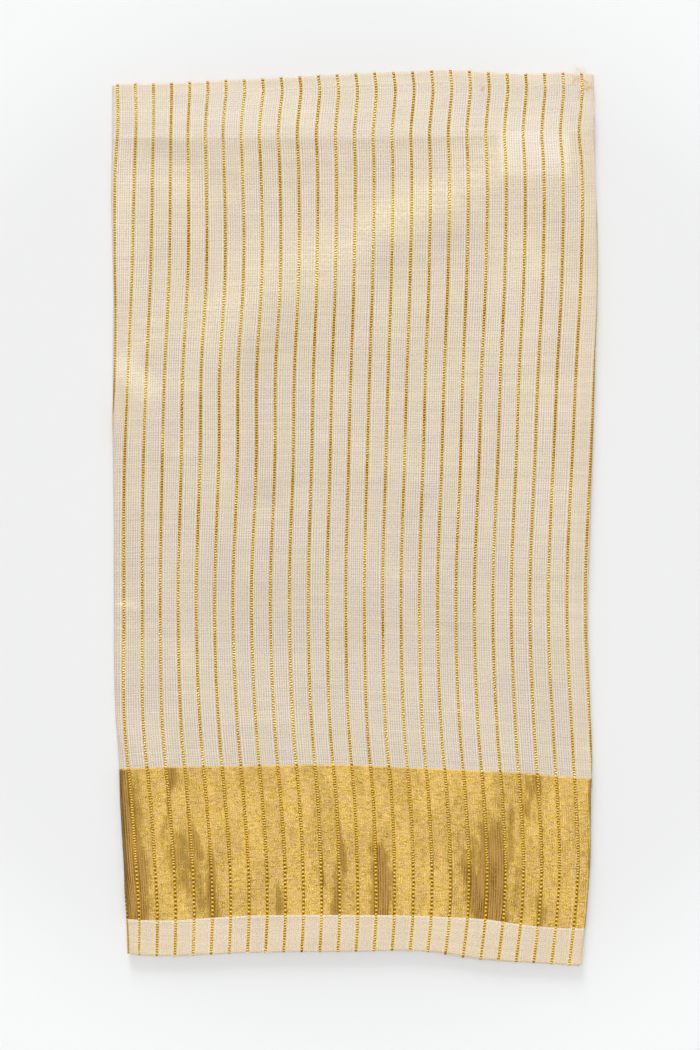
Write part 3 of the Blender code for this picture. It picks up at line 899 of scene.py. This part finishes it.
YELLOWER, ROSIER = rgb(0.995, 0.995, 0.94), rgb(1.0, 0.98, 1.0)  # tints of the warp, in columns
STITCHED_TINT = rgb(0.99, 0.965, 0.925)
TURNED_TINT = rgb(1.04, 1.03, 1.02)  # where the bottom hem meets the border
HIGHLIGHT_WHITE = rgb(0.84, 0.82, 0.80)  # painted highlight of the palest square
GLINT = rgb(0.96, 0.84, 0.56)  # painted glint of the zari in the tissue's weft
# Under-thread between the zari grains: dark brown with painted shadow in the gaps, lighter where the
# stripe's painted glint is high.
BED_DULL, BED_BRIGHT = rgb(0.19, 0.078, 0.001), rgb(0.50, 0.26, 0.002)
BORDER_DARK, BORDER_LIGHT = rgb(0.245, 0.152, 0.012), rgb(0.69, 0.482, 0.115)
OLIVE, BLUSH = rgb(0.56, 0.37, 0.022), rgb(0.62, 0.39, 0.17)
BARE_WARP = rgb(0.46, 0.27, 0.135)
# The border's dark patches: its dull mauve warp, with painted shade where the gold faces away from
# the light.
DULL_DARK, DULL_LIGHT = rgb(0.158, 0.082, 0.004), rgb(0.35, 0.20, 0.06)
DULL_GILT, DULL_RIM = rgb(0.48, 0.28, 0.04), rgb(0.27, 0.16, 0.008)
BORDER_BED, FIRST_PICK = rgb(0.38, 0.205, 0.001), rgb(0.72, 0.50, 0.12)
# The grains' painted glint, from dull to bright.
GRAIN_DULL, GRAIN_BRIGHT = rgb(0.80, 0.455, 0.012), rgb(1.0, 0.92, 0.42)
GRAIN_GOLD, GRAIN_DOT = rgb(0.93, 0.55, 0.006), rgb(0.14, 0.043, 0.0003)
CREAM_SEWING, PINK_SEWING = rgb(0.86, 0.78, 0.63), rgb(0.84, 0.59, 0.33)

# upper and lower: painted shade, the cloth greyer from its top down as the light falls off
Tissue = namedtuple("Tissue", "name light dark yellow upper lower lines")
GROUND = Tissue(
    name="striped_tissue",
    light=rgb(0.90, 0.80, 0.66),
    dark=rgb(0.60, 0.515, 0.44),
    yellow=rgb(0.84, 0.73, 0.48),
    upper=rgb(0.945, 0.925, 0.905),
    lower=rgb(0.885, 0.875, 0.883),
    lines=0.5,
)
TOP_HEM = Tissue(
    name="turned_hem",
    light=rgb(0.91, 0.82, 0.69),
    dark=rgb(0.69, 0.59, 0.49),
    yellow=rgb(0.87, 0.76, 0.54),
    upper=rgb(0.94, 0.94, 0.95),
    lower=rgb(0.94, 0.94, 0.95),
    lines=0.4,
)
HEM_SHADE = rgb(0.92, 0.87, 0.78)
BOTTOM_HEM = TOP_HEM._replace(name="narrow_hem", upper=HEM_SHADE, lower=HEM_SHADE, lines=0.18)
HIDDEN = TOP_HEM._replace(name="hidden_cloth")


class Term:
    """A number or colour that a material works out at each point. Numbers take + - and *."""

    def __init__(self, shade, socket):
        self.shade = shade
        self.socket = socket

    def __add__(self, other):
        return self.shade.math("ADD", self, other)

    def __sub__(self, other):
        return self.shade.math("SUBTRACT", self, other)

    def __mul__(self, other):
        return self.shade.math("MULTIPLY", self, other)

    __radd__ = __add__


class Shade:
    """A material, or the world, being built: short names for the nodes that it needs."""

    def __init__(self, name, made=None, shader="Principled BSDF", **fixed):
        self.made = made or bpy.data.materials.new(name)
        self.made.use_nodes = True
        self.tree = self.made.node_tree
        self.inputs = self.tree.nodes[shader].inputs
        for key, value in fixed.items():
            self.inputs[key.replace("_", " ")].default_value = value

    def add(self, kind, inputs, output=0, **settings):
        node = self.tree.nodes.new("ShaderNode" + kind)
        for key, value in settings.items():
            setattr(node, key, value)
        for key, value in inputs.items():
            self.feed(node.inputs[key], value)
        return Term(self, node.outputs[output])

    def feed(self, socket, value):
        if isinstance(value, Term):
            self.tree.links.new(value.socket, socket)
        else:
            socket.default_value = value

    def math(self, operation, a, b=0.0, clamp=False):
        return self.add("Math", {0: a, 1: b}, operation=operation, use_clamp=clamp)

    def between(self, value, low, high):
        """0 at low and 1 at high, eased and held past them."""
        inputs = {"Value": value, "From Min": low, "From Max": high}
        return self.add("MapRange", inputs, interpolation_type="SMOOTHSTEP")

    def cloth(self, across=1.0, down=1.0, offset=0.0):
        """The cloth coordinates in millimetres, times a rate across and a rate down."""
        uv = self.add("UVMap", {}, uv_map="cloth")
        inputs = {"Vector": uv, "Scale": (across, down, 1), "Location": (offset, offset, 0)}
        return self.add("Mapping", inputs)

    def place(self, axis, rate=1.0):
        """The distance across (axis 0) or down (axis 1) the cloth, times a rate."""
        return self.add("SeparateXYZ", {0: self.cloth(rate, rate)}, output=axis)

    def noise(self, across, down, detail, offset):
        """Unevenness with some waves a millimetre across and down, its detail and its place."""
        inputs = {"Vector": self.cloth(across, down, offset), "Scale": 1.0, "Detail": detail}
        return self.add("TexNoise", inputs, noise_dimensions="2D")

    def lines(self, axis, pitch, wander):
        """0 to 1 and back over each thread pitch, across (axis 0) or down (axis 1) the cloth."""
        place = wander * (0.9 * pitch) + self.place(axis)
        return self.math("COSINE", place * (2 * math.pi / pitch)) * 0.5 + 0.5

    def value(self, name):
        return self.add("Attribute", {}, output=2, attribute_name=name)

    def mix(self, share, a, b, blend="MIX"):
        inputs = {0: share, 6: a, 7: b}
        return self.add("Mix", inputs, output=2, data_type="RGBA", blend_type=blend)

    def tint(self, colour, by):
        return self.mix(1.0, colour, by, "MULTIPLY")

    def stripe_distance(self):
        """Distance in millimetres from the middle of the nearest stripe."""
        part = self.math("FRACT", self.place(0, 1 / PITCH) + 0.5)
        return self.math("ABSOLUTE", part - 0.5) * PITCH

    def finished(self, colour, weave=None, depth=0.0):
        """The material, with its colour and with the relief of its weave."""
        self.feed(self.inputs["Base Color"], colour)
        if weave:
            inputs = {"Height": weave, "Distance": depth * MM, "Strength": 1.0}
            self.feed(self.inputs["Normal"], self.add("Bump", inputs))
        return self.made


def warp_lines(shade):
    return shade.lines(0, WARP_PITCH, shade.noise(0.25, 0.02, 1, 5))


def threads(shade, lines, speckle, beside):
    """(weave, speck): the regular threads both ways under an uneven speckle, and that alone.

    The threads may be clearer beside the stripes.
    """
    weft = shade.lines(1, WEFT_PITCH, shade.noise(0.02, 0.25, 1, 9))
    speck = shade.noise(1.9, 1.9, 1, 3)
    plain = shade.between(shade.noise(0.09, 0.035, 2, 43), 0.62, 0.40)
    near_stripe = shade.between(shade.stripe_distance(), 3.4, 1.4)
    clear = plain * 0.6 + 0.35 + near_stripe * beside
    grid = (warp_lines(shade) * 0.62 + weft * 0.38 - 0.5) * clear + 0.5
    return speck * speckle + grid * lines, speck


def tissue(look):
    """Cream tissue: silk warp with a little zari in the weft, which glints where it is lit and in
    painted glints.
    """
    shade = Shade(look.name, Roughness=0.62, Sheen_Weight=0.1, Specular_IOR_Level=0.15)
    across, down = shade.place(0), shade.place(1)
    weave, speck = threads(shade, look.lines, 1 - look.lines, 0.7)
    colour = shade.mix(shade.between(weave, 0.30, 0.68), look.dark, look.light)
    column = shade.between(shade.noise(0.15, 0.03, 3, 47), 0.38, 0.6)
    colour = shade.tint(colour, shade.mix(column, YELLOWER, ROSIER))
    blotch = shade.noise(0.08, 0.05, 3, 11) + shade.noise(0.7, 0.7, 1, 13)
    colour = shade.mix(shade.between(blotch, 0.94, 1.16) * 0.35, colour, look.yellow)

    # Painted shade: from the upper colour to the lower one down the cloth, as the light falls off.
    fade = shade.mix(shade.between(down, FADE_FROM, FADE_TO), look.upper, look.lower)
    top_edge = shade.between(down, STITCHED_EDGE - 1.2, STITCHED_EDGE + 0.8)
    side_edge = shade.between(across, STITCHED_SIDE - 0.8, STITCHED_SIDE + 0.8)
    edge = shade.math("MAXIMUM", top_edge, side_edge)
    colour = shade.mix(edge * 0.3, colour, look.light)
    fade = shade.mix(edge, fade, shade.tint(fade, STITCHED_TINT))
    end = shade.between(down, WOVEN["border_end"] - 0.6, WOVEN["border_end"] - 0.2)
    fade = shade.mix(end * (look.name == "narrow_hem"), fade, TURNED_TINT)
    colour = shade.tint(colour, fade)

    # Painted glint: the zari weft turns yellow where it catches the light, in slubs and in the glint
    # patches.
    slub = shade.between(shade.noise(0.035, 1.0, 1, 19), 0.62, 0.76)
    long_streak = shade.noise(0.018, 0.5, 3, 51)
    short_streak = shade.noise(0.06, 1.1, 2, 53)
    broken = shade.between(short_streak, 0.35, 0.65) * 0.5 + 0.5
    gleam = shade.between(shade.noise(0.7, 1.0, 3, 57), 0.40, 0.62)
    patch = shade.value("patch") * (gleam * 0.7 + 0.3) * broken
    painted_glint = shade.math("ADD", slub * 0.20, patch, clamp=True)
    colour = shade.mix(painted_glint * 0.75, colour, GLINT)
    # Painted highlight: the palest square is whitened.
    painted_highlight = shade.between(shade.value("pale"), 0.07, 0.13) * 0.22
    colour = shade.mix(painted_highlight, colour, HIGHLIGHT_WHITE)
    # Painted light and shade, and the painted highlight, with random tone, the weft's uneven streaks
    # and pale beads beside the stripes.
    pale = shade.value("pale") + long_streak * LONG_STREAK + short_streak * SHORT_STREAK
    pale = pale + (1 - (LONG_STREAK + SHORT_STREAK) / 2)
    beside = shade.between(shade.stripe_distance(), 1.7, 1.1)
    pale = pale + beside * (shade.lines(1, WEFT_PITCH, 0.0) * 0.16 - 0.03)
    colour = shade.add("VectorMath", {0: colour, 3: pale}, operation="SCALE")

    border = shade.between(down, *BORDER_START) * shade.between(down, *BORDER_END)
    border = border * (look.name == "hidden_cloth")
    colour = shade.mix(border, colour, shade.mix(speck, BORDER_DARK, BORDER_LIGHT))
    # The ridge under each stripe: painted shadow between the grains, lighter with the painted glint.
    bed = shade.between(shade.stripe_distance(), 0.60, 0.46)
    colour = shade.mix(bed, colour, shade.mix(shade.value("glint"), BED_DULL, BED_BRIGHT))
    shade.feed(shade.inputs["Metallic"], painted_glint * 0.3 + border * 0.6)
    return shade.finished(colour, weave, WEAVE_DEPTH)


def zari_weave(name):
    """The border: zari weft over a dull mauve warp, which shows where the cloth is pressed.

    Its dark patches are also painted shade, where the gold faces away from the light.
    """
    shade = Shade(name, Roughness=0.42, Metallic=0.62, Specular_IOR_Level=0.2)
    weave, speck = threads(shade, 0.7, 0.3, 0.0)
    fibre = shade.noise(0.4, 1.3, 2, 17)  # the gilt weft, in short bright lengths
    bright = shade.noise(2.1, 3.2, 1, 61) * 0.8 + fibre * 0.4
    gold = shade.mix(shade.between(bright, 0.53, 0.68), BORDER_DARK, BORDER_LIGHT)
    olive = shade.between(shade.noise(0.45, 0.4, 3, 27), 0.46, 0.62)
    gold = shade.mix(olive * 0.4, gold, OLIVE)
    blush = shade.between(shade.noise(0.22, 0.30, 2, 67), 0.46, 0.62)
    gold = shade.mix(blush * 0.32, gold, BLUSH)
    warp = shade.between(warp_lines(shade), 0.35, 0.9)
    bare = shade.between(shade.noise(0.2, 0.2, 2, 33), 0.36, 0.64)
    gold = shade.mix(warp * (bare * 0.4 + 0.36), gold, BARE_WARP)

    # Painted shade in the dark patches, with the warp's own mauve lines and lighter rims.
    fine_warp = shade.noise(1.7, 0.07, 2, 29)
    dull = shade.mix(shade.between(warp * 0.35 + fine_warp, 0.36, 0.82), DULL_DARK, DULL_LIGHT)
    dull = shade.mix(shade.between(bright, 0.66, 0.86), dull, DULL_GILT)
    patchy = shade.noise(0.28, 0.16, 2, 37)
    uneven = (patchy - 0.5) * 0.9 + (fine_warp - 0.5) * 0.7 + (speck - 0.5) * 0.7
    near_patch = shade.between(shade.value("patch"), 0.02, 0.3) * 0.8 + 0.2
    edge = uneven * near_patch + shade.value("patch")
    gold = shade.mix(shade.between(edge, 0.2, 0.62) * 0.7, gold, DULL_RIM)
    gold = shade.mix(shade.between(edge, 0.35, 0.95), gold, dull)

    bed = shade.between(shade.stripe_distance(), 0.62, 0.45)
    gold = shade.mix(bed * 0.8, gold, BORDER_BED)
    top = WOVEN["border_top"]
    first_pick = shade.between(shade.place(1), top - 0.8, top - 0.3)
    return shade.finished(shade.mix(first_pick * 0.5, gold, FIRST_PICK), weave, BORDER_WEAVE_DEPTH)


def zari_thread(name):
    """The grains of the stripes: gilt thread that catches the light unevenly, its glint painted into
    its colour.
    """
    shade = Shade(name, Metallic=0.55, Roughness=0.36, Specular_IOR_Level=0.05)
    bright = shade.mix(shade.value("glint"), GRAIN_DULL, GRAIN_BRIGHT)
    bright = shade.mix(shade.value("gold"), bright, GRAIN_GOLD)
    return shade.finished(shade.mix(shade.value("dot"), bright, GRAIN_DOT))


def plain_thread(name, colour):
    return Shade(name, Base_Color=colour, Roughness=0.6, Sheen_Weight=0.2).made


def finish(piece, material):
    piece.data.materials.append(material)
    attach(piece, "root")
    return piece


# ---------- the stage
# Painted shade: the floor is greyer round the cloth.
FLOOR_SHADED_NEAR, FLOOR_FAR = rgb(0.842, 0.845, 0.845), rgb(0.917, 0.922, 0.927)
FLOOR_FADE = 0.178, 0.252  # from the middle, in metres


def make_floor():
    """A plain pale floor, with painted shade making it a little greyer round the cloth."""
    half, low = 4000.0, -0.1
    corners = [(-half, -half, low), (half, -half, low), (half, half, low), (-half, half, low)]
    floor = make_mesh("floor", corners, [range(4)])
    shade = Shade("floor", Roughness=0.9)
    place = shade.add("TexCoord", {}, output=3)
    away = shade.add("VectorMath", {0: place}, output=1, operation="LENGTH")
    colour = shade.mix(shade.between(away, *FLOOR_FADE), FLOOR_SHADED_NEAR, FLOOR_FAR)
    floor.data.materials.append(shade.finished(colour))


SIDE_GLOW, TOP_GLOW = 0.47, 3.5  # the studio's white walls, and the soft box straight above
BOX_FROM, BOX_TO = 0.89, 0.975  # height on the sky where the soft box begins and is full
SUN, SUN_WIDTH = 1.4, math.radians(22)
KEY_SHINES = (0.16, -1.0, -0.40)


def make_lights():
    """A wide soft box straight above in a white studio, and a soft key from beyond the top hem."""
    world = bpy.data.worlds.new("studio")
    bpy.context.scene.world = world
    sky = Shade("sky", world, "Background", Color=rgb(1.0, 1.0, 1.0))
    height = sky.add("SeparateXYZ", {0: sky.add("TexCoord", {})}, output=2)
    box = sky.between(height, BOX_FROM, BOX_TO)
    sky.feed(sky.inputs["Strength"], box * (TOP_GLOW - SIDE_GLOW) + SIDE_GLOW)
    light = bpy.data.lights.new("key", "SUN")
    light.energy = SUN
    light.angle = SUN_WIDTH
    key = make_object("key", light)
    key.rotation_euler = Vector(KEY_SHINES).to_track_quat("-Z", "Y").to_euler()


def make_camera():
    data = bpy.data.cameras.new("camera")
    data.lens = 100.0
    data.sensor_width = 36.0
    data.clip_end = 20.0
    camera = make_object("camera", data)
    camera.location = (-2.0 * MM, -2.9 * MM, 1.225 + PILE * MM)
    bpy.context.scene.camera = camera


def main():
    bpy.context.scene.view_settings.view_transform = "Standard"
    make_camera()
    make_floor()
    make_lights()
    hidden = tissue(HIDDEN)
    gilt = zari_thread("zari_thread")
    cream = plain_thread("cream_thread", CREAM_SEWING)
    pink = plain_thread("pink_thread", PINK_SEWING)
    finishes = {
        "top_hem_cloth": tissue(TOP_HEM),
        "ground_cloth": tissue(GROUND),
        "border_cloth": zari_weave("zari_weave"),
        "bottom_hem_cloth": tissue(BOTTOM_HEM),
    }

    pieces = {}
    for stretch in STRETCHES:
        cloth = finish(make_cloth(stretch), finishes[stretch.name])
        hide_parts(stretch.node)
        pieces[stretch.name] = [cloth, finish(make_grains(stretch), gilt)]
    pieces["top_hem_cloth"] += [
        finish(make_stitches(), cream),
        finish(make_bar_tack(), pink),
        finish(make_loose_ends(), cream),
    ]
    under = finish(make_under(), hidden)
    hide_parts("hidden_layers")

    for stretch in STRETCHES:
        cloth, *others = pieces[stretch.name]


main()
